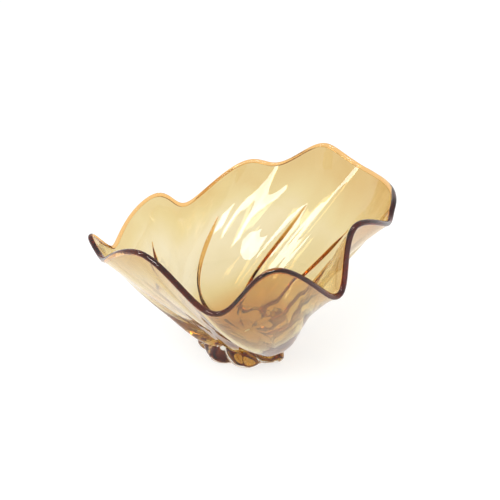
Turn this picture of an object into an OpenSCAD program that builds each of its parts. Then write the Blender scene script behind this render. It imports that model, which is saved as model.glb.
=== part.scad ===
// Art glass bowl: a hot-worked bowl of amber glass cased with clear glass.
// Eight pleats start at the heavy clear foot, twist up the wall and end in a ruffled rim.
// Millimetres. Z is up. The origin is the centre of the flat ground face the bowl stands on.
// The front of the bowl looks along -Y; the lowest dip of the rim is on its -X side.

/* [Overall size] */
// mean distance of the rim from the middle of the bowl
rim_radius = 142; // [120:1:175]
// mean height of the rim above the table
rim_height = 145; // [125:1:175]
// height of the inside bottom above the table
floor_height = 18; // [16:1:24]

/* [Wall shape] */
// how far the inside bottom runs out before the wall turns up
floor_reach = 61; // [51:1:73]
// slope of the wall below a crest of the rim, in degrees
crest_slope = 70; // [59:1:75]
// slope of the wall below a dip of the rim, in degrees
dip_slope = 40; // [34:1:46]
// how long the wall keeps its slope below a crest
crest_hold = 109; // [91:1:120]
// how long the wall keeps its slope below a dip
dip_hold = 79; // [66:1:95]
// how much longer the slope is kept on the +X side than in the middle
hold_side = 21; // [0:1:25]
// how much farther the bottom runs out on the +X side
reach_side = 5; // [0:1:8]
// how much farther the bottom runs out on the +Y side
reach_away = 7; // [0:1:9]
// how much steeper the +Y side is than the middle, in degrees
lean = 10; // [0:1:12]
// turn of the pleats between the inside bottom and the rim, in degrees
twist = 75; // [63:1:82]
// share of the turn that is made low down, 1 is even
twist_low = 1.2; // [1:0.1:1.4]
// how deep the pleats are pressed into the wall
pleat_depth = 4; // [2:0.5:4.5]

/* [Glass] */
// thickness of the amber wall
wall_thickness = 4; // [3.5:0.1:5]
// extra thickness of the amber glass at the bottom
floor_extra = 2; // [0:0.5:3]
// thickness of the fire-polished bead along the rim
lip_thickness = 5.5; // [5.2:0.1:7]
// thickness of a clear foot lobe where the foot meets the wall
lobe_thickness = 7.5; // [6:0.5:9]
// share of that thickness left in the groove between two lobes
groove_share = 0.3; // [0.2:0.05:0.6]
// radius of the flat ground ring the bowl stands on
foot_radius = 38; // [32:1:45]
// how far a foot lobe swells out halfway up the foot
foot_bulge = 4.5; // [2:0.5:6]
// how far the ground ring is turned ahead of the amber wall above it, in degrees
foot_lead = 3; // [0:1:5]

/* [Ribs] */
// height of a rib above the inside face of the wall
rib_height = 2.6; // [1.5:0.1:4]
// width of a rib where it is widest
rib_width = 5; // [4:0.5:7]

/* [Hidden] */
// points of the rim, one at each crest and dip: angle, share of the radius, share of the height,
// and how steep the wall below it stands (0 as below a dip, 1 as below a crest)
RIM = [
    [-2, 0.99, 1.17, 0.8],
    [35, 1.06, 1.16, 0.5],
    [54, 0.96, 1.29, 1.2],
    [76, 1.05, 1.06, 0.6],
    [91, 1.07, 1.05, 1.1],
    [118, 0.97, 0.79, 0.8],
    [134, 1.01, 0.90, 0.5],
    [173, 0.94, 0.75, 0.0],
    [184, 1.06, 0.91, 0.3],
    [200, 1.00, 0.86, 0.0],
    [234, 1.06, 1.14, 1.1],
    [259, 1.02, 0.82, 0.9],
    [278, 1.13, 1.16, 1.2],
    [305, 0.98, 0.83, 0.0],
    [312, 0.97, 1.25, 0.5],
    [345, 0.97, 1.09, 0.2]
];
// where on the rim each pleat runs out, counted in points of the rim
RUNOUT = [0.5, 1.6, 4.1, 6.1, 8.8, 10.6, 12.6, 14.3];
lobes = len(RUNOUT);
// turn of the first pleat at the inside bottom
floor_turn = RIM[0][0] + twist;
// positions across one lobe: the pleat itself, then from the edge of its rib to the edge of the next rib
ACROSS = [0, 0, 0.13, 0.25, 0.38, 0.5, 0.62, 0.75, 0.87, 1];
across = len(ACROSS);
around = lobes * across;
// positions up the wall, from the middle of the bottom to the seam under the lip
UP = [0, 0.05, 0.10, 0.13, 0.16, 0.19, 0.22, 0.25, 0.30, 0.35, 0.40, 0.45, 0.50, 0.56,
    0.62, 0.68, 0.74, 0.79, 0.84, 0.88, 0.92, 0.95, 0.98];
top_row = len(UP) - 1;
// rows where the pad ends, the foot meets the wall, the clear lobes run out, and the ribs begin and end
pad_row = 2;
heel_row = 7;
casing_row = 13;
rib_first = 5;
rib_last = 17;
lip_steps = 9;

function ease(x) = let (t = max(0, min(1, x))) t * t * (3 - 2 * t);
function unit(v) = v / max(norm(v), 0.000001);
// row of a closed table; the first entry gains one full turn each time round
function turn_row(table, k, full) = let (n = len(table), q = floor(k / n))
    is_list(table[0])
        ? table[k - q * n] + [full * q, 0, 0, 0]
        : table[k - q * n] + full * q;
// smooth curve through the rows of a closed table
function through(table, s, full) = let (
    i = floor(s),
    t = s - i,
    a = turn_row(table, i - 1, full),
    b = turn_row(table, i, full),
    c = turn_row(table, i + 1, full),
    d = turn_row(table, i + 2, full))
    0.5 * (2 * b + (c - a) * t + (2 * a - 5 * b + 4 * c - d) * t * t + (3 * b - a - 3 * c + d) * t * t * t);
// the wall before the pleats are pressed in: u counts pleats round the bowl,
// v runs from the middle of the bottom (0) to the rim (1)
function wall(u, v) = let (
    s = through(RUNOUT, u, len(RIM)),
    rim = through(RIM, s, 360),
    slope = rim[3] * crest_slope + (1 - rim[3]) * dip_slope + lean * sin(rim[0]),
    hold = rim[3] * crest_hold + (1 - rim[3]) * dip_hold + hold_side * cos(rim[0]),
    reach = floor_reach + reach_side * cos(rim[0]) + reach_away * sin(rim[0]),
    p0 = [0, floor_height],
    p1 = [reach, floor_height],
    p3 = [rim_radius * rim[1], rim_height * rim[2]],
    p2 = p3 - hold * [cos(slope), sin(slope)],
    w = 1 - v,
    p = w * w * w * p0 + 3 * v * w * w * p1 + 3 * v * v * w * p2 + v * v * v * p3,
    share = 1 - pow(w, twist_low),
    turn = (1 - share) * (floor_turn + 360 / lobes * u) + share * rim[0])
    [p[0] * cos(turn), p[0] * sin(turn), p[1]];
function out_way(u, v) =
    unit(cross(wall(u + 0.01, v) - wall(u - 0.01, v), wall(u, v + 0.01) - wall(u, v - 0.01)));
// how far a pleat is pressed in: sharp at the pleat, fading out above
function press(u, v) = pleat_depth * ease(v / 0.25) * (1 - ease((v - 0.35) / 0.5))
    * (1 - pow(abs(sin(180 * u)), 0.6));
// half the width of rib k as a share of one lobe, measured square to the rib:
// slim low down, widest a little below its point
function rib_share(k, v) = let (
    half = rib_width / 2 * (0.5 + 0.5 * ease((v - 0.3) / 0.35) - 0.7 * ease((v - 0.68) / 0.11)),
    around_way = (wall(k + 0.05, v) - wall(k - 0.05, v)) / 0.1,
    up_way = unit(wall(k, v + 0.02) - wall(k, max(0, v - 0.02))))
    min(0.2, half / max(norm(cross(around_way, up_way)), 1));
function wrap(i) = (i + around) % around;

// where each grid point stands, counted in pleats round the bowl
AT = [for (v = UP) let (half = [for (k = [0 : lobes]) rib_share(k, v)]) [for (i = [0 : around - 1]) let (
    k = floor(i / across),
    m = i - k * across)
    m == 0 ? k : k + half[k] + (1 - half[k] - half[k + 1]) * ACROSS[m]]];
// the wall before pressing, and the direction square to it that points out of the bowl
BASE = [for (j = [0 : top_row]) [for (i = [0 : around - 1]) wall(AT[j][i], UP[j])]];
OUT = [for (j = [0 : top_row]) [for (i = [0 : around - 1]) j == 0 ? [0, 0, -1] : out_way(AT[j][i], UP[j])]];
// inner face of the amber glass
INNER = [for (j = [0 : top_row]) [for (i = [0 : around - 1])
    BASE[j][i] - press(AT[j][i], UP[j]) * OUT[j][i]]];
// outer face of the amber glass
OUTER = [for (j = [0 : top_row]) [for (i = [0 : around - 1])
    INNER[j][i] + (wall_thickness + floor_extra * pow(1 - UP[j], 3)) * OUT[j][i]]];
// clear glass over the amber glass, thickest between two pleats
function lobe_share(i) = groove_share + (1 - groove_share) * abs(sin(180 * AT[heel_row][i]));
function clear_depth(j, i) = lobe_thickness * lobe_share(i)
    * (1 - ease((UP[j] - UP[heel_row]) / (UP[casing_row] - UP[heel_row])));
// angle of a point round the bowl
function turn_of(p) = atan2(p[1], p[0]);
// foot below the heel: swells out, then rounds in to the ground ring, turning with the amber wall
function foot_point(j, i) = let (
    heel = OUTER[heel_row][i] + clear_depth(heel_row, i) * OUT[heel_row][i],
    down = 90 * (heel_row - j) / (heel_row - pad_row),
    heel_radius = norm([heel[0], heel[1]]),
    ring = foot_radius * (0.87 + 0.13 * lobe_share(i)),
    swell = foot_bulge * lobe_share(i) * sin(2 * down),
    r = ring + (heel_radius - ring) * pow(max(0, cos(down)), 0.6) + swell,
    to_go = turn_of(BASE[pad_row][i]) + foot_lead - turn_of(heel),
    turn = turn_of(heel) + (to_go - 360 * round(to_go / 360)) * (1 - cos(down)))
    [r * cos(turn), r * sin(turn), j == pad_row ? 0 : heel[2] * (1 - sin(down))];
// outer face of the clear glass
CASING = [for (j = [0 : casing_row]) [for (i = [0 : around - 1])
    j < pad_row ? [0, 0, 0]
        : j < heel_row ? foot_point(j, i)
        : j < casing_row ? OUTER[j][i] + clear_depth(j, i) * OUT[j][i]
        : OUTER[j][i]]];

// the two triangles of one cell, cut along its short diagonal
function cell(j, i) = [[[j, i], [j, i + 1], [j + 1, i + 1]], [[j, i], [j + 1, i + 1], [j + 1, i]]];
function flat(list) = [for (a = list) for (b = a) b];
function real_faces(list) = [for (f = list) if (f[0] != f[1] && f[1] != f[2] && f[2] != f[0]) f];

// ring-shaped wall between two faces, from row 0 with a single middle point to row last
module dish(near, far, last) {
    n = around;
    points = concat(
        [near[0][0]],
        flat([for (j = [1 : last]) near[j]]),
        [far[0][0]],
        flat([for (j = [1 : last]) far[j]]));
    half = 1 + n * last;
    function at(side, j, i) = side * half + (j == 0 ? 0 : 1 + (j - 1) * n + i % n);
    cells = flat([for (j = [0 : last - 1]) for (i = [0 : n - 1]) cell(j, i)]);
    near_faces = [for (t = cells) [for (k = [0 : 2]) at(0, t[k][0], t[k][1])]];
    far_faces = [for (t = cells) [for (k = [2 : -1 : 0]) at(1, t[k][0], t[k][1])]];
    rim_faces = flat([for (i = [0 : n - 1]) [
        [at(0, last, i), at(0, last, i + 1), at(1, last, i + 1)],
        [at(0, last, i), at(1, last, i + 1), at(1, last, i)]
    ]]);
    polyhedron(points, real_faces(concat(near_faces, far_faces, rim_faces)));
}

// amber glass: the whole bowl in one blown wall, ending at the seam under the lip
module amber_bowl() {
    color([0.86, 0.68, 0.36])
        dish(INNER, OUTER, top_row);
}

// bead along the rim, drawn round by reheating; its flat side sits on the top edge of the wall
module amber_lip() {
    half = lip_thickness / 2;
    lift = sqrt(half * half - wall_thickness * wall_thickness / 4);
    start = asin(wall_thickness / lip_thickness);
    rings = [for (m = [0 : lip_steps]) [for (i = [0 : around - 1]) let (
        near = INNER[top_row][i],
        far = OUTER[top_row][i],
        along = unit(near - INNER[top_row - 1][i]),
        a = start + (360 - 2 * start) * m / lip_steps)
        m == 0 ? near
            : m == lip_steps ? far
            : (near + far) / 2 + (lift - half * cos(a)) * along - half * sin(a) * OUT[top_row][i]]];
    n = around;
    count = lip_steps + 1;
    points = flat(rings);
    faces = flat([for (m = [0 : lip_steps]) for (i = [0 : n - 1]) let (
        next = (m + 1) % count,
        a = m * n + i,
        b = m * n + (i + 1) % n,
        c = next * n + (i + 1) % n,
        d = next * n + i)
        m == lip_steps ? [[a, b, d], [b, c, d]] : [[a, b, c], [a, c, d]]]);
    color([0.72, 0.36, 0.08])
        polyhedron(points, faces);
}

// clear pad under the bowl with the ground and polished face it stands on
module clear_core() {
    n = around;
    points = concat([OUTER[0][0]], OUTER[1], OUTER[2], CASING[pad_row], [[0, 0, 0]]);
    function at(j, i) = j == 0 ? 0 : 1 + (j - 1) * n + i % n;
    cells = flat([for (j = [0 : pad_row - 1]) for (i = [0 : n - 1]) cell(j, i)]);
    top_faces = [for (t = cells) [for (k = [0 : 2]) at(t[k][0], t[k][1])]];
    side_faces = flat([for (i = [0 : n - 1]) [
        [at(2, i), at(2, i + 1), at(3, i + 1)],
        [at(2, i), at(3, i + 1), at(3, i)]
    ]]);
    base_faces = [for (i = [0 : n - 1]) [at(3, i), at(3, i + 1), 1 + 3 * n]];
    color([0.9, 0.92, 0.9])
        polyhedron(points, real_faces(concat(top_faces, side_faces, base_faces)));
}

// one lobe of the clear foot: a gather laid on the amber wall between two pleats
module foot_lobe(k) {
    n = across + 1;
    rows = casing_row - pad_row + 1;
    first = k * across;
    function near_at(j, i) = (j - pad_row) * n + i - first;
    function far_at(j, i) = j == casing_row ? near_at(j, i) : rows * n + near_at(j, i);
    last = first + across;
    points = concat(
        flat([for (j = [pad_row : casing_row]) [for (i = [first : last]) OUTER[j][i % around]]]),
        flat([for (j = [pad_row : casing_row - 1]) [for (i = [first : last]) CASING[j][i % around]]]));
    cells = flat([for (j = [pad_row : casing_row - 1]) for (i = [first : last - 1]) cell(j, i)]);
    near_faces = [for (t = cells) [for (m = [0 : 2]) near_at(t[m][0], t[m][1])]];
    far_faces = [for (t = cells) [for (m = [2 : -1 : 0]) far_at(t[m][0], t[m][1])]];
    left_faces = flat([for (j = [pad_row : casing_row - 1]) [
        [near_at(j, first), near_at(j + 1, first), far_at(j + 1, first)],
        [near_at(j, first), far_at(j + 1, first), far_at(j, first)]
    ]]);
    right_faces = flat([for (j = [pad_row : casing_row - 1]) [
        [near_at(j, last), far_at(j + 1, last), near_at(j + 1, last)],
        [near_at(j, last), far_at(j, last), far_at(j + 1, last)]
    ]]);
    base_faces = flat([for (i = [first : last - 1]) [
        [near_at(pad_row, i), far_at(pad_row, i + 1), near_at(pad_row, i + 1)],
        [near_at(pad_row, i), far_at(pad_row, i), far_at(pad_row, i + 1)]
    ]]);
    color([0.8, 0.84, 0.8])
        polyhedron(points, real_faces(concat(near_faces, far_faces, left_faces, right_faces, base_faces)));
}

module foot_lobe_1() {
    foot_lobe(0);
}

module foot_lobe_2() {
    foot_lobe(1);
}

module foot_lobe_3() {
    foot_lobe(2);
}

module foot_lobe_4() {
    foot_lobe(3);
}

module foot_lobe_5() {
    foot_lobe(4);
}

module foot_lobe_6() {
    foot_lobe(5);
}

module foot_lobe_7() {
    foot_lobe(6);
}

module foot_lobe_8() {
    foot_lobe(7);
}

// one amber rib: the ridge of thicker glass a pleat leaves on the inside, pointed at its upper end
module rib(k) {
    rows = rib_last - rib_first + 1;
    // the three columns of the rib: left edge, ridge, right edge
    first = k * across;
    function column(i) = wrap(first + i - 1);
    function raised(j, i) = i == 1 && j > rib_first && j < rib_last;
    function ridge(j) = rib_height * (0.6 + 0.4 * ease((UP[j] - 0.4) / 0.25)) * ease((j - rib_first) / 3)
        * ease((rib_last - j) / 3);
    function base_at(j, i) = (j - rib_first) * 3 + i;
    function top_at(j, i) = raised(j, i) ? rows * 3 + (j - rib_first - 1) : base_at(j, i);
    points = concat(
        flat([for (j = [rib_first : rib_last]) [for (i = [0 : 2]) INNER[j][column(i)]]]),
        [for (j = [rib_first + 1 : rib_last - 1]) INNER[j][column(1)] - ridge(j) * OUT[j][column(1)]]);
    cells = flat([for (j = [rib_first : rib_last - 1]) for (i = [0 : 1]) cell(j, i)]);
    function touches_ridge(t) = max([for (p = t) raised(p[0], p[1]) ? 1 : 0]) == 1;
    used = [for (t = cells) if (touches_ridge(t)) t];
    top_faces = [for (t = used) [for (m = [0 : 2]) top_at(t[m][0], t[m][1])]];
    base_faces = [for (t = used) [for (m = [2 : -1 : 0]) base_at(t[m][0], t[m][1])]];
    color([0.62, 0.34, 0.1])
        polyhedron(points, concat(top_faces, base_faces));
}

module rib_1() {
    rib(0);
}

module rib_2() {
    rib(1);
}

module rib_3() {
    rib(2);
}

module rib_4() {
    rib(3);
}

module rib_5() {
    rib(4);
}

module rib_6() {
    rib(5);
}

module rib_7() {
    rib(6);
}

module rib_8() {
    rib(7);
}

clear_core();
foot_lobe_1();
foot_lobe_2();
foot_lobe_3();
foot_lobe_4();
foot_lobe_5();
foot_lobe_6();
foot_lobe_7();
foot_lobe_8();
amber_bowl();
rib_1();
rib_2();
rib_3();
rib_4();
rib_5();
rib_6();
rib_7();
rib_8();
amber_lip();
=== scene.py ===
import bpy
import numpy as np
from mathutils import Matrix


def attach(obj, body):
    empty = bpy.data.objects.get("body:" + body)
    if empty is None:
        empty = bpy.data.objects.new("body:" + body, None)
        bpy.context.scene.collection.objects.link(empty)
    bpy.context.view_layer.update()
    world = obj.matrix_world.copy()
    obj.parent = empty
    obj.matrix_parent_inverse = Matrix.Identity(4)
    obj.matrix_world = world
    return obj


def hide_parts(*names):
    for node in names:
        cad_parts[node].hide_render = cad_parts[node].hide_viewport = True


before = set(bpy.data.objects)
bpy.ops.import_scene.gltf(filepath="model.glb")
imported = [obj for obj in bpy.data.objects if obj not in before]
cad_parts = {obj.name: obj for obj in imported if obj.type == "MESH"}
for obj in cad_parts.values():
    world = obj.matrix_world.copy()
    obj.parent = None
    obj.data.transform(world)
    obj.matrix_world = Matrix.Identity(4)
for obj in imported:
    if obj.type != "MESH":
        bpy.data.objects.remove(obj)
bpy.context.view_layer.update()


# The amber bowl: one blown wall of straw-coloured glass, 4 mm thick, from the middle of the
# bottom to the seam under the lip. It was blown in a ribbed mould, twisted, spun open and left
# to fall into a ruffle, so eight pleats turn up the wall and run out below the rim.

# mm, and degrees for slopes and turns
RIM_RADIUS, RIM_HEIGHT, FLOOR_HEIGHT = 142.0, 145.0, 18.0
WALL, FLOOR_EXTRA = 4.0, 2.0
# slope of the wall below a crest and below a dip of the rim, and how long the wall keeps it
CREST_SLOPE, DIP_SLOPE, LEAN = 70, 40, 10
CREST_HOLD, DIP_HOLD, HOLD_SIDE = 109, 79, 21
# how far the inside bottom runs out, and how much farther at the side and away from the front
FLOOR_REACH, REACH_SIDE, REACH_AWAY = 61, 5, 7
TWIST, TWIST_LOW = 75.0, 1.2
PLEATS, PLEAT_DEPTH = 8, 4.0
RIPPLE_DEPTH = 0.10
RIB_WIDTH = 5.0
# space left between two pieces that are one glass in the real bowl
SEAM_GAP = 0.02
# one row at each crest and dip of the rim: angle, share of the radius, share of the height,
# and how steep the wall below it stands (0 as below a dip, 1 as below a crest)
RIM = np.array([
    (-2, 0.99, 1.17, 0.8), (35, 1.06, 1.16, 0.5), (54, 0.96, 1.29, 1.2), (76, 1.05, 1.06, 0.6),
    (91, 1.07, 1.05, 1.1), (118, 0.97, 0.79, 0.8), (134, 1.01, 0.90, 0.5), (173, 0.94, 0.75, 0.0),
    (184, 1.06, 0.91, 0.3), (200, 1.00, 0.86, 0.0), (234, 1.06, 1.14, 1.1), (259, 1.02, 0.82, 0.9),
    (278, 1.13, 1.16, 1.2), (305, 0.98, 0.83, 0.0), (312, 0.97, 1.25, 0.5), (345, 0.97, 1.09, 0.2)], float)
# where on the rim each pleat runs out, counted in rows of the rim
RUNOUT = np.array([0.5, 1.6, 4.1, 6.1, 8.8, 10.6, 12.6, 14.3])[:, None]
FLOOR_TURN = RIM[0, 0] + TWIST
# rows of the surface stand every hundredth of the way up; these are where one piece ends
PAD_ROW, RIB_FOOT, HEEL_ROW, CASING_ROW, RIB_TIP, TOP_ROW = 10, 19, 25, 56, 79, 98
# columns across one pleat: half a rib, the panel, half of the next rib
HALF_RIB, PANEL = 4, 28
ACROSS = 2 * HALF_RIB + PANEL
AROUND = PLEATS * ACROSS


def ease(x):
    """Smooth step: 3x^2 - 2x^3 with x held between 0 and 1."""
    x = np.clip(x, 0, 1)
    return x * x * (3 - 2 * x)


def unit(vectors):
    """Each vector over its own length."""
    return vectors / np.maximum(np.linalg.norm(vectors, axis=-1, keepdims=True), 1e-9)


def through(table, s, full):
    """Catmull-Rom curve through the rows of a closed table, whose first entry gains `full` each round."""
    step = np.floor(s).astype(int)
    t = (s - step)[..., None]

    def row(k):
        turned = table[k % len(table)].copy()
        turned[..., 0] += full * (k // len(table))
        return turned

    a, b, c, d = row(step - 1), row(step), row(step + 1), row(step + 2)
    return (2 * b + (c - a) * t + (2 * a - 5 * b + 4 * c - d) * t ** 2
            + (3 * b - a - 3 * c + d) * t ** 3) / 2


def wall(u, v):
    """Smooth wall in mm: a cubic Bezier profile from the bottom's middle to the rim, flat at the bottom
    and held at the local slope below the rim. It turns from the foot's angle to the rim's by
    1 - (1 - v)^1.2."""
    s = through(RUNOUT, u, len(RIM))[..., 0]
    angle, radius, height, steep = np.moveaxis(through(RIM, s, 360.0), -1, 0)
    side, away = np.cos(np.radians(angle)), np.sin(np.radians(angle))
    slope = np.radians(CREST_SLOPE * steep + DIP_SLOPE * (1 - steep) + LEAN * away)
    hold = CREST_HOLD * steep + DIP_HOLD * (1 - steep) + HOLD_SIDE * side
    reach = FLOOR_REACH + REACH_SIDE * side + REACH_AWAY * away
    r3, z3 = RIM_RADIUS * radius, RIM_HEIGHT * height
    r2, z2 = r3 - hold * np.cos(slope), z3 - hold * np.sin(slope)
    w = 1 - v
    r = 3 * v * w * w * reach + 3 * v * v * w * r2 + v ** 3 * r3
    z = (w ** 3 + 3 * v * w * w) * FLOOR_HEIGHT + 3 * v * v * w * z2 + v ** 3 * z3
    share = 1 - w ** TWIST_LOW
    turn = np.radians((1 - share) * (FLOOR_TURN + 360 / PLEATS * u) + share * angle)
    return np.stack([r * np.cos(turn), r * np.sin(turn), z], -1)


def press(u, v):
    """Depth of a pleat: 1 - |sin(pi u)|^0.6, growing over the bottom and fading out up the wall."""
    fade = ease(v / 0.25) * (1 - ease((v - 0.35) / 0.5))
    return PLEAT_DEPTH * fade * (1 - np.abs(np.sin(np.pi * u)) ** 0.6)


def rib_share(k, v):
    """Half the width of rib k as a share of one pleat, measured square to the rib: slim low down, widest
    below its point."""
    half = RIB_WIDTH / 2 * (0.5 + 0.5 * ease((v - 0.3) / 0.35) - 0.7 * ease((v - 0.68) / 0.11))
    around_way = (wall(k + 0.05, v) - wall(k - 0.05, v)) / 0.1
    up_way = unit(wall(k, v + 0.02) - wall(k, np.maximum(0, v - 0.02)))
    return np.minimum(0.2, half / np.maximum(np.linalg.norm(np.cross(around_way, up_way), axis=-1), 1))


def ripple(u, v):
    """Faint ridges the mould leaves along the wall: three sines round the bowl that drift as they rise."""
    waves = (np.sin(2 * np.pi * (3 * u + 0.6 * v)) + 0.6 * np.sin(2 * np.pi * (5 * u - 0.9 * v) + 1.1)
             + 0.4 * np.sin(2 * np.pi * (8 * u + 1.3 * v) + 2.3))
    return RIPPLE_DEPTH * waves * ease((v - 0.1) / 0.3) * (1 - 0.6 * ease((v - 0.8) / 0.15))


def grid_at(rows):
    """u and v of the grid's points: columns crowd across a rib and spread evenly over a panel."""
    v = np.repeat(np.asarray(rows)[:, None] / 100.0, AROUND, axis=1)
    lobe, m = np.divmod(np.arange(AROUND), ACROSS)
    left, right = rib_share(lobe + 0.0, v), rib_share(lobe + 1.0, v)
    rising = left * m / HALF_RIB
    panel = left + (1 - left - right) * (m - HALF_RIB) / PANEL
    falling = 1 - right * (ACROSS - m) / HALF_RIB
    across = np.where(m <= HALF_RIB, rising, np.where(m < HALF_RIB + PANEL, panel, falling))
    return lobe + across, v


U, V = grid_at(np.arange(TOP_ROW + 1))
SMOOTH = wall(U, V)
OUT = unit(np.cross(wall(U + 0.01, V) - wall(U - 0.01, V), wall(U, V + 0.01) - wall(U, V - 0.01)))
OUT[0] = (0, 0, -1)
INNER = SMOOTH - (press(U, V) + ripple(U, V))[..., None] * OUT
THICK = WALL + FLOOR_EXTRA * (1 - V) ** 3
OUTER = SMOOTH + (THICK - press(U, V) + ripple(U + 0.37, V))[..., None] * OUT


def linear(hex_colour):
    """sRGB hex to linear red, green, blue and alpha."""
    c = np.array([int(hex_colour[i:i + 2], 16) for i in (1, 3, 5)]) / 255
    return (*np.where(c <= 0.04045, c / 12.92, ((c + 0.055) / 1.055) ** 2.4), 1.0)


def add(tree, kind, settings=(), links=()):
    """One shader node with its settings ({input or property: value}) and links ({input: output socket})."""
    made = tree.nodes.new(kind)
    for key, value in dict(settings).items():
        if isinstance(key, int) or key in made.inputs:
            made.inputs[key].default_value = value
        else:
            setattr(made, key, value)
    for key, socket in dict(links).items():
        tree.links.new(socket, made.inputs[key])
    return made


GLASS_IOR = 1.5


def glass(name, absorb, tint="#ffffff", paint=None):
    """Glass that takes `absorb` per mm (red, green, blue) out of light passing through it. Faces marked 1 in
    "inside" lie within the body, where one glass runs on into the next, and don't bend or mirror light.
    `tint` is the colour its surface gives to light; `paint` may return a colour socket in its place."""
    material = bpy.data.materials.new(name)
    material.use_nodes = True
    tree = material.node_tree
    tree.nodes.clear()
    inside = add(tree, "ShaderNodeAttribute", {"attribute_name": "inside"})
    bend = add(tree, "ShaderNodeMath", {"operation": "MULTIPLY_ADD", 1: 1 - GLASS_IOR, 2: GLASS_IOR},
               {0: inside.outputs["Fac"]})
    links = {"IOR": bend.outputs[0]}
    if paint:
        links["Base Color"] = paint(tree)
    body = add(tree, "ShaderNodeBsdfPrincipled",
               {"Base Color": linear(tint), "Transmission Weight": 1.0, "Roughness": 0.0, "IOR": GLASS_IOR},
               links)
    # Blender counts per metre; the density is a little over the strongest channel, so no colour reaches 0
    density = 1000 * max(absorb) * 1.02
    kept = [1 - 1000 * a / density for a in absorb]
    fog = add(tree, "ShaderNodeVolumeAbsorption", {"Color": (*kept, 1), "Density": density})
    out = add(tree, "ShaderNodeOutputMaterial")
    tree.links.new(body.outputs["BSDF"], out.inputs["Surface"])
    tree.links.new(fog.outputs["Volume"], out.inputs["Volume"])
    return material


def piece(name, points, faces, material, inside, strength=None):
    """A smooth-shaded mesh object from points in mm and arrays of faces, each with its "inside" marks."""
    counts = np.concatenate([np.full(len(f), f.shape[1]) for f in faces])
    corners = np.concatenate([f.ravel() for f in faces])
    mesh = bpy.data.meshes.new(name)
    mesh.vertices.add(len(points))
    mesh.vertices.foreach_set("co", (np.asarray(points) / 1000).ravel())
    mesh.loops.add(len(corners))
    mesh.loops.foreach_set("vertex_index", corners)
    mesh.polygons.add(len(counts))
    mesh.polygons.foreach_set("loop_start", np.concatenate([[0], np.cumsum(counts)[:-1]]))
    mesh.polygons.foreach_set("use_smooth", np.ones(len(counts), bool))
    mesh.materials.append(material)
    marks = np.concatenate([np.broadcast_to(mark, len(f)) for mark, f in zip(inside, faces)])
    mesh.attributes.new("inside", "FLOAT", "FACE").data.foreach_set("value", marks.astype(np.float32))
    if strength is not None:
        mesh.attributes.new("strength", "FLOAT", "POINT").data.foreach_set("value", strength.ravel())
    mesh.update(calc_edges=True)
    mesh.validate()
    mesh.set_sharp_from_angle(angle=np.radians(60))
    made = bpy.data.objects.new(name, mesh)
    bpy.context.scene.collection.objects.link(made)
    return made


def quads(index, closed=True):
    """The faces between neighbouring rows of a grid of point numbers, turned outwards for rows that rise."""
    step = np.roll(index, -1, 1) if closed else index[:, 1:]
    here = index if closed else index[:, :-1]
    return np.stack([here[:-1], step[:-1], step[1:], here[1:]], -1).reshape(-1, 4)


# light taken out by each mm of glass: red, green, blue
STRAW = (0.006, 0.012, 0.036)


def straw_tint_with_painted_shade(tree):
    """Soft clouds of deeper and paler straw, with painted shade deeper by the rim, for glass seen edge-on,
    and by the bottom, for the bowl's shade seen through it; deeper on one side too.
    """
    place = add(tree, "ShaderNodeTexCoord")
    # clouds about 70 mm across
    noise = add(tree, "ShaderNodeTexNoise",
                {"Scale": 14.0, "Detail": 3.0, "Roughness": 0.55, "Distortion": 1.2},
                {"Vector": place.outputs["Object"]})
    strength = add(tree, "ShaderNodeAttribute", {"attribute_name": "strength"})
    blend = add(tree, "ShaderNodeMath", {"operation": "MULTIPLY_ADD", 1: 0.35}, {0: noise.outputs["Fac"]})
    tree.links.new(strength.outputs["Fac"], blend.inputs[2])
    ramp = add(tree, "ShaderNodeValToRGB", {}, {"Fac": blend.outputs[0]})
    stops = ramp.color_ramp.elements
    stops[0].position, stops[0].color = 0.15, linear("#eee4ca")
    stops[1].position, stops[1].color = 1.0, linear("#d4a860")
    middle = stops.new(0.5)
    middle.color = linear("#e4d2a0")
    return ramp.outputs["Color"]


# Straw-coloured soda-lime glass, fire polished: clear and bright face on, honey-coloured to brown where
# the eye looks along it.
amber_glass = glass("straw_amber_glass", STRAW, paint=straw_tint_with_painted_shade)

numbers = np.arange(TOP_ROW * AROUND).reshape(TOP_ROW, AROUND) + 1
far = numbers + TOP_ROW * AROUND + 1
inner_faces = quads(numbers)[:, ::-1]
outer_faces = quads(far)
row_of = np.repeat(np.arange(1, TOP_ROW), AROUND)
column_of = np.tile(np.arange(AROUND) % ACROSS, TOP_ROW - 1)
rib_column = (column_of < HALF_RIB) | (column_of >= ACROSS - HALF_RIB)
under_rib = (row_of >= RIB_FOOT) & (row_of < RIB_TIP) & rib_column
cased = row_of < CASING_ROW
bottom_in = np.stack([np.zeros(AROUND, int), np.roll(numbers[0], -1), numbers[0]], -1)
bottom_out = np.stack([np.full(AROUND, far[0, 0] - 1), far[0], np.roll(far[0], -1)], -1)
top_edge = np.stack([numbers[-1], np.roll(numbers[-1], -1), np.roll(far[-1], -1), far[-1]], -1)[:, ::-1]
# Painted shade: the tint deepens towards the rim for the darker look of glass seen edge-on, and towards the
# bottom for the bowl's shade seen through it; it also deepens on one side.
tint_depth_with_painted_shade = 0.40 * ease((V - 0.72) / 0.26) + 0.80 * (1 - ease((V - 0.12) / 0.40))
panel_side = 0.5 - 0.5 * np.cos(np.radians(45 * U - 150))
tint_depth_with_painted_shade = tint_depth_with_painted_shade + 0.30 * panel_side
points = np.concatenate([INNER[0, :1], INNER[1:].reshape(-1, 3), OUTER[0, :1], OUTER[1:].reshape(-1, 3)])
strength = np.concatenate([tint_depth_with_painted_shade[0, :1], tint_depth_with_painted_shade[1:].ravel()] * 2)
amber_bowl = piece("amber_bowl_wall", points, [inner_faces, outer_faces, bottom_in, bottom_out, top_edge],
                   amber_glass, [under_rib, cased, 0, 1, 1], strength)
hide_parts("amber_bowl")
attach(amber_bowl, "root")


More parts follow.
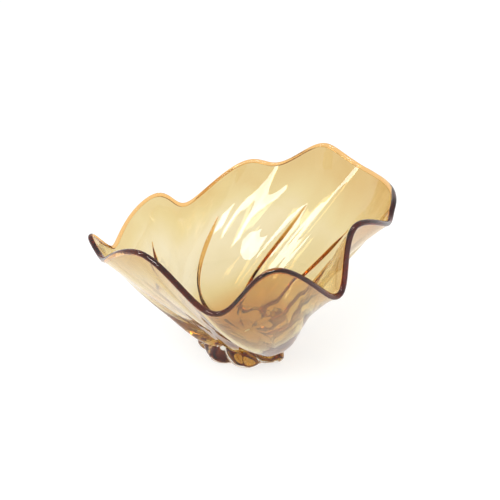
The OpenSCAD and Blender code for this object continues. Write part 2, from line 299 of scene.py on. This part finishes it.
# The ribs: where each pleat was pinched the amber glass is drawn up into a ridge on the inside.
# It is slim low down, widest near the top and ends in a dark point. It is one glass with the wall.

RIB_HEIGHT = 2.6
RIB_GLASS = (0.002, 0.008, 0.024)
# The same amber glass in a thicker mass: the eye sees a deeper, redder line.
rib_glass = glass("deep_amber_rib_glass", RIB_GLASS, "#ecc486")


def rib(k):
    """Ridge over the wall's own rib columns: height times (1 + cos(pi x)) / 2 across, easing in and out
    along it."""
    rows = np.arange(RIB_FOOT, RIB_TIP + 1)
    columns = (k * ACROSS + np.arange(-HALF_RIB, HALF_RIB + 1)) % AROUND
    base = INNER[rows][:, columns]
    out = OUT[rows][:, columns]
    v = rows[:, None] / 100
    x = np.arange(-HALF_RIB, HALF_RIB + 1)[None] / HALF_RIB
    along = ease((v - 0.19) / 0.12) * (0.6 + 0.4 * ease((v - 0.4) / 0.25)) * (1 - ease((v - 0.70) / 0.09))
    height = RIB_HEIGHT * along * (0.5 + 0.5 * np.cos(np.pi * x))
    low = base - SEAM_GAP * out
    high = low - height[..., None] * out
    index = np.arange(low[..., 0].size).reshape(low.shape[:2])
    top = index + index.size
    top[[0, -1]] = index[[0, -1]]
    top[:, [0, -1]] = index[:, [0, -1]]
    faces = [quads(index, closed=False), quads(top, closed=False)[:, ::-1]]
    made = piece("rib_ridge_%d" % (k + 1), np.concatenate([low.reshape(-1, 3), high.reshape(-1, 3)]), faces,
                 rib_glass, [1, 0])
    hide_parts("rib_%d" % (k + 1))
    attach(made, "root")


for k in range(PLEATS):
    rib(k)


# The foot lobes: clear glass gathered over the lower wall, one swelling between each two pleats.
# They are thick where the foot meets the wall and feather out on the amber glass halfway up.

LOBE_THICKNESS, GROOVE_SHARE = 7.5, 0.3
FOOT_RADIUS, FOOT_BULGE, FOOT_LEAD = 38.0, 4.5, 3.0
CLEAR = (0.0004, 0.0006, 0.0012)
# Clear soda-lime glass, fire polished: colourless, with bright edges where it bends the light.
clear_glass = glass("clear_casing_glass", CLEAR)

LOBE_SHARE = GROOVE_SHARE + (1 - GROOVE_SHARE) * np.abs(np.sin(np.pi * U[HEEL_ROW]))
CLEAR_DEPTH = LOBE_THICKNESS * LOBE_SHARE * (1 - ease((V - 0.25) / 0.31))
CASED = OUTER + CLEAR_DEPTH[..., None] * OUT


def foot(rows):
    """Foot below the heel, with `down` running from 0 at the heel to 90 degrees at the table: the radius
    falls to the ground ring's by cos(down)^0.6 and swells by sin(2 down), the height falls by
    1 - sin(down), and the angle turns to the amber wall's by 1 - cos(down)."""
    down = np.radians(90 * (HEEL_ROW - rows) / (HEEL_ROW - PAD_ROW))[:, None]
    heel = CASED[HEEL_ROW]
    heel_radius = np.hypot(heel[:, 0], heel[:, 1])
    ring = FOOT_RADIUS * (0.87 + 0.13 * LOBE_SHARE)
    swell = FOOT_BULGE * LOBE_SHARE * np.sin(2 * down)
    r = ring + (heel_radius - ring) * np.maximum(np.cos(down), 0) ** 0.6 + swell
    heel_turn = np.arctan2(heel[:, 1], heel[:, 0])
    to_go = np.arctan2(SMOOTH[PAD_ROW, :, 1], SMOOTH[PAD_ROW, :, 0]) + np.radians(FOOT_LEAD) - heel_turn
    turn = heel_turn + (to_go - 2 * np.pi * np.round(to_go / (2 * np.pi))) * (1 - np.cos(down))
    return np.stack([r * np.cos(turn), r * np.sin(turn), heel[:, 2] * (1 - np.sin(down))], -1)


CASING = np.concatenate([foot(np.arange(PAD_ROW, HEEL_ROW)), CASED[HEEL_ROW:CASING_ROW + 1]])
CASING[0, :, 2] = 0


def pinched(sheet, lobe):
    """One lobe's columns of a sheet, its two edges drawn in by half a seam gap."""
    part = sheet[:, (lobe * ACROSS + np.arange(ACROSS + 1)) % AROUND].copy()
    part[:, 0] += SEAM_GAP / 2 * unit(part[:, 1] - part[:, 0])
    part[:, -1] += SEAM_GAP / 2 * unit(part[:, -2] - part[:, -1])
    return part


def foot_lobe(k):
    """Closed lobe: its inner sheet on the amber wall, its outer sheet the casing, joined at the sides and
    bottom."""
    rows = slice(PAD_ROW, CASING_ROW + 1)
    near = pinched(OUTER[rows] + SEAM_GAP * OUT[rows], k)
    far_side = pinched(CASING + SEAM_GAP * OUT[rows] * np.array([1, 1, 0]), k)
    index = np.arange(near[..., 0].size).reshape(near.shape[:2])
    casing = index + index.size
    casing[-1] = index[-1]
    left = np.stack([index[:-1, 0], index[1:, 0], casing[1:, 0], casing[:-1, 0]], -1)
    right = np.stack([index[:-1, -1], casing[:-1, -1], casing[1:, -1], index[1:, -1]], -1)
    base = np.stack([index[0, :-1], casing[0, :-1], casing[0, 1:], index[0, 1:]], -1)
    sides = [left[:-1], right[:-1], base]
    tips = [left[-1:, [0, 1, 3]], right[-1:, [0, 1, 3]]]
    sheets = [quads(index, closed=False)[:, ::-1], quads(casing, closed=False)]
    made = piece("clear_foot_lobe_%d" % (k + 1),
                 np.concatenate([near.reshape(-1, 3), far_side.reshape(-1, 3)]),
                 sheets + sides + tips, clear_glass, [1, 0, 1, 1, 1, 1, 1])
    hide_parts("foot_lobe_%d" % (k + 1))
    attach(made, "root")


for k in range(PLEATS):
    foot_lobe(k)


# The clear core: the thick pad of clear glass between the amber bottom and the table, ground flat
# and polished underneath, where the bowl was cut off its iron.

rows = slice(0, PAD_ROW + 1)
top = OUTER[rows] + SEAM_GAP * OUT[rows]
ring = CASING[:1] * np.array([(1 - SEAM_GAP / 40), (1 - SEAM_GAP / 40), 1])
points = np.concatenate([top[0, :1], top[1:].reshape(-1, 3), ring[0], [[0, 0, 0]]])
numbers = np.arange(PAD_ROW * AROUND).reshape(PAD_ROW, AROUND) + 1
edge = numbers[-1] + AROUND
pole = np.stack([np.zeros(AROUND, int), np.roll(numbers[0], -1), numbers[0]], -1)
side = np.stack([numbers[-1], np.roll(numbers[-1], -1), np.roll(edge, -1), edge], -1)[:, ::-1]
base = np.stack([np.full(AROUND, edge[-1] + 1), np.roll(edge, -1), edge], -1)
clear_core = piece("clear_pad", points, [quads(numbers)[:, ::-1], pole, side, base],
                   clear_glass, [1, 1, 1, 0])
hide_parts("clear_core")
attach(clear_core, "root")


# The lip: reheating drew the edge of the wall round into a bead. Its orange tint is painted shade for the
# darker look of glass seen edge-on, so it is the darkest line of the bowl, orange where light comes through
# it and brown elsewhere.

LIP_THICKNESS, LIP_STEPS = 5.5, 20
LIP_GLASS = (0.001, 0.006, 0.020)
# Amber glass rounded in the flame: a glossy bead that carries a thin line of light.
# f0c07c is painted shade: the edge-on darkening of the rim put into the bead's colour.
lip_glass = glass("fire_polished_lip_glass", LIP_GLASS, "#f0c07c")
near, far_edge = INNER[-1], OUTER[-1]
along = unit(INNER[-1] - INNER[-3])
across = unit(far_edge - near)
chord = np.linalg.norm(far_edge - near, axis=-1)[:, None] / 2
half = LIP_THICKNESS / 2
lift = np.sqrt(half ** 2 - chord ** 2)
start = np.arcsin(chord / half)
a = start + (2 * np.pi - 2 * start) * (np.arange(LIP_STEPS + 1) / LIP_STEPS)[:, None, None]
bead = (near + far_edge) / 2 + (SEAM_GAP + lift - half * np.cos(a)) * along - half * np.sin(a) * across
index = np.arange(bead[..., 0].size).reshape(bead.shape[:2])
seam = np.stack([index[-1], np.roll(index[-1], -1), np.roll(index[0], -1), index[0]], -1)
lip = piece("lip_bead", bead.reshape(-1, 3), [quads(index)[:, ::-1], seam[:, ::-1]], lip_glass, [0, 1])
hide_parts("amber_lip")
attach(lip, "root")


# The stage: a pale floor, soft studio lights and the camera.

FLOOR_HALF_WIDTH, FLOOR_DROP = 6000, 0.2
# Matt paper that glows a little of itself, so it stays pale and its shadows stay soft.
floor_paint = bpy.data.materials.new("pale_matt_paper")
floor_paint.use_nodes = True
paper = floor_paint.node_tree.nodes["Principled BSDF"].inputs
paper["Base Color"].default_value = (0.35, 0.35, 0.35, 1)
paper["Roughness"].default_value = 1.0
paper["Emission Color"].default_value = (1, 1, 1, 1)
paper["Emission Strength"].default_value = 0.7
corner = np.array([(-1, -1), (1, -1), (1, 1), (-1, 1)]) * FLOOR_HALF_WIDTH
floor_points = np.column_stack([corner, np.full(4, -FLOOR_DROP)])
floor = piece("floor", floor_points, [np.array([[0, 1, 2, 3]])], floor_paint, [0])

world = bpy.data.worlds.new("soft_room")
world.use_nodes = True
world.node_tree.nodes["Background"].inputs["Color"].default_value = linear("#ffffff")
world.node_tree.nodes["Background"].inputs["Strength"].default_value = 0.85
bpy.context.scene.world = world


# height of the point the lights aim at, in metres
BOWL_MIDDLE = 0.1


def softbox(name, azimuth, elevation, distance, width, height, radiance):
    """A rectangular area light aimed at the bowl; its power is radiance times pi times its area."""
    data = bpy.data.lights.new(name, "AREA")
    data.shape = "RECTANGLE"
    data.size, data.size_y = width, height
    data.energy = radiance * np.pi * width * height
    made = bpy.data.objects.new(name, data)
    bpy.context.scene.collection.objects.link(made)
    a, e = np.radians(azimuth), np.radians(elevation)
    out, up = distance * np.cos(e), distance * np.sin(e)
    made.location = (out * np.sin(a), -out * np.cos(a), BOWL_MIDDLE + up)
    made.rotation_euler = (np.pi / 2 - e, 0, a)


softbox("key_softbox", -12, 50, 1.4, 0.7, 0.5, 9.0)
softbox("side_strip", -75, 40, 1.4, 0.25, 0.9, 9.0)

EYE_HEIGHT, EYE_DISTANCE, EYE_DOWN = 0.080, 0.890, np.radians(26.0)
camera_data = bpy.data.cameras.new("camera")
camera_data.lens, camera_data.sensor_width = 64.2, 36.0
camera_data.shift_x, camera_data.shift_y = 0.006, 0.054
camera = bpy.data.objects.new("camera", camera_data)
bpy.context.scene.collection.objects.link(camera)
camera.location = (0, -EYE_DISTANCE * np.cos(EYE_DOWN), EYE_HEIGHT + EYE_DISTANCE * np.sin(EYE_DOWN))
camera.rotation_euler = (np.pi / 2 - EYE_DOWN, 0, 0)
bpy.context.scene.camera = camera
bpy.context.scene.view_settings.view_transform = "Standard"
# light runs a long way inside the wall before it gets out at the lip
LIGHT_BOUNCES = 48
cycles = bpy.context.scene.cycles
cycles.max_bounces = cycles.glossy_bounces = cycles.transmission_bounces = LIGHT_BOUNCES
